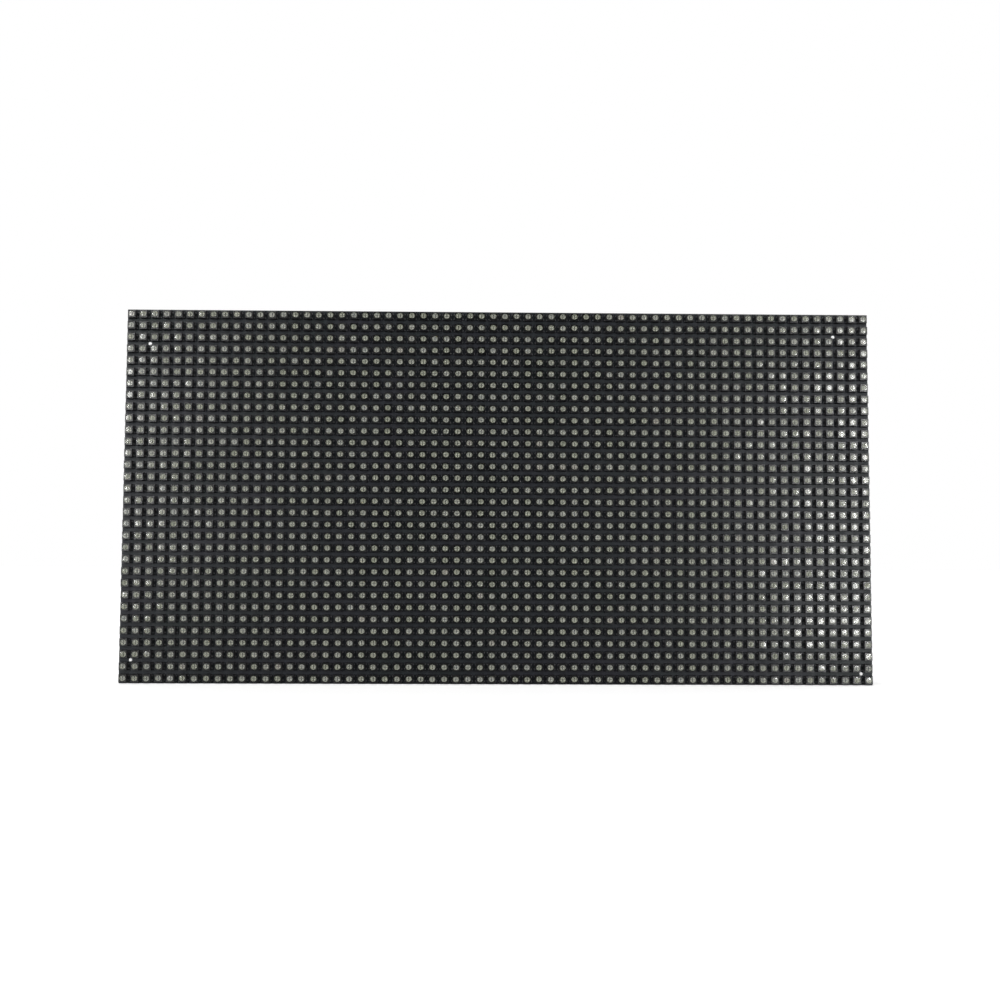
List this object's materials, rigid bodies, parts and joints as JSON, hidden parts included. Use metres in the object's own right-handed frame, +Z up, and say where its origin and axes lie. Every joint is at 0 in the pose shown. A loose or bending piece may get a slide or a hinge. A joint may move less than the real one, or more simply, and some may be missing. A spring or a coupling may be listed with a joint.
{
  "type": "rgb led matrix panel",
  "caption": "Flat rectangular colour LED display module: a grid of small black LED packages on a circuit board, with a moulded rear frame, ribbon cable sockets and a power header.",
  "frame": {"origin": "bottom of the long edge it stands on, in the middle of its width and depth", "axes": "+X to the right seen from the display side, -Y out of the display, +Z up"},
  "size_m": [0.1918, 0.0142, 0.0958],
  "materials": {
    "solder_mask": "matt black solder mask over glass-fibre board",
    "led_package": "black moulded package",
    "frame_plastic": "fine spark-eroded texture",
    "insert_brass": "turned",
    "tinned_metal": "bright tin plate",
    "screw_steel": "zinc plate",
    "header_plastic": "moulded",
    "gilded_contact": "gold flash",
    "power_plastic": "natural nylon",
    "chip_plastic": "moulded epoxy",
    "capacitor_foot": "moulded",
    "capacitor_can": "drawn, laquered",
    "capacitor_ceramic": "fired",
    "resistor_ceramic": "glazed"
  },
  "bodies": {
    "root": {"circuit_board": "solder_mask", "led_rows_upper": "led_package", "led_rows_lower": "led_package", "rear_frame": "frame_plastic", "mounting_inserts": "insert_brass", "board_nuts": "tinned_metal", "frame_screws": "screw_steel", "data_in_housing": "header_plastic", "data_in_pins": "gilded_contact", "data_out_housing": "header_plastic", "data_out_pins": "gilded_contact", "power_housing": "power_plastic", "power_pins": "tinned_metal", "column_drivers_upper": "chip_plastic", "column_drivers_lower": "chip_plastic", "row_switches": "chip_plastic", "row_decoders": "chip_plastic", "data_buffers": "chip_plastic", "capacitor_bases": "capacitor_foot", "capacitor_cans": "capacitor_can", "ceramic_capacitors": "capacitor_ceramic", "chip_resistors": "resistor_ceramic", "resistor_arrays": "resistor_ceramic"}
  },
  "joints": []
}
